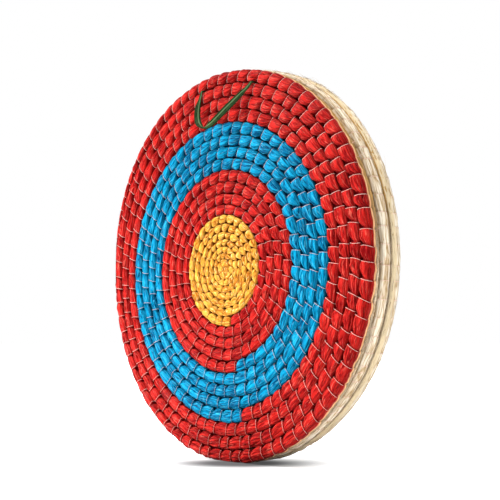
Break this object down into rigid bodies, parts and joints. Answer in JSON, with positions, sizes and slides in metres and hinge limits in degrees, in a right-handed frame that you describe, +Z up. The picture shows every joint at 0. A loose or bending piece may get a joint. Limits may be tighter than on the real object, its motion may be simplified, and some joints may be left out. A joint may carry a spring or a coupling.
{
  "type": "coiled straw archery target",
  "caption": "Round archery target of sewn straw coils in stacked layers, with ribbon-wrapped scoring rings on its face and a cord loop to hang it by; it stands on its rim.",
  "frame": {"origin": "middle of the foot where the rim is pressed flat, at the middle of the part's width and depth", "axes": "+Z up, the coloured face towards -Y, +X to the right of someone who looks at the face"},
  "size_m": [0.501, 0.0655, 0.5025],
  "materials": {
    "gold_ribbon": "crinkled ribbon with a soft sheen",
    "red_ribbon": "crinkled ribbon with a soft sheen",
    "blue_ribbon": "crinkled ribbon with a soft sheen",
    "straw": "raw straw, matt, with loose fibres",
    "husk": "dry pale husk strips, matt, with long fibres",
    "thread": "fine smooth sewing thread",
    "green_tape": "flat woven tape, matt"
  },
  "bodies": {
    "target": {"gold_ribbon_wrap": "gold_ribbon", "inner_red_ribbon_wrap": "red_ribbon", "blue_ribbon_wrap": "blue_ribbon", "outer_red_ribbon_wrap": "red_ribbon", "front_straw_rope": "straw", "front_sewing_thread": "thread", "middle_husk_rope": "husk", "middle_straw_core": "straw", "back_husk_wrap": "husk", "back_straw_rope": "straw", "back_sewing_thread": "thread", "front_rim_lashing": "thread", "back_rim_lashing": "thread", "hang_cord_left_tail": "green_tape", "hang_cord_right_tail": "green_tape", "hang_cord_knot": "green_tape"},
    "hang_loop": {"hang_cord_loop": "green_tape"}
  },
  "joints": [
    {"name": "hang_loop_swing", "type": "hinge", "parent": "target", "child": "hang_loop", "pos_m": [0.00359, -0.02685, 0.47481], "axis": [-0.9993, 0, 0.0373], "range_deg": [0, 165]}
  ]
}
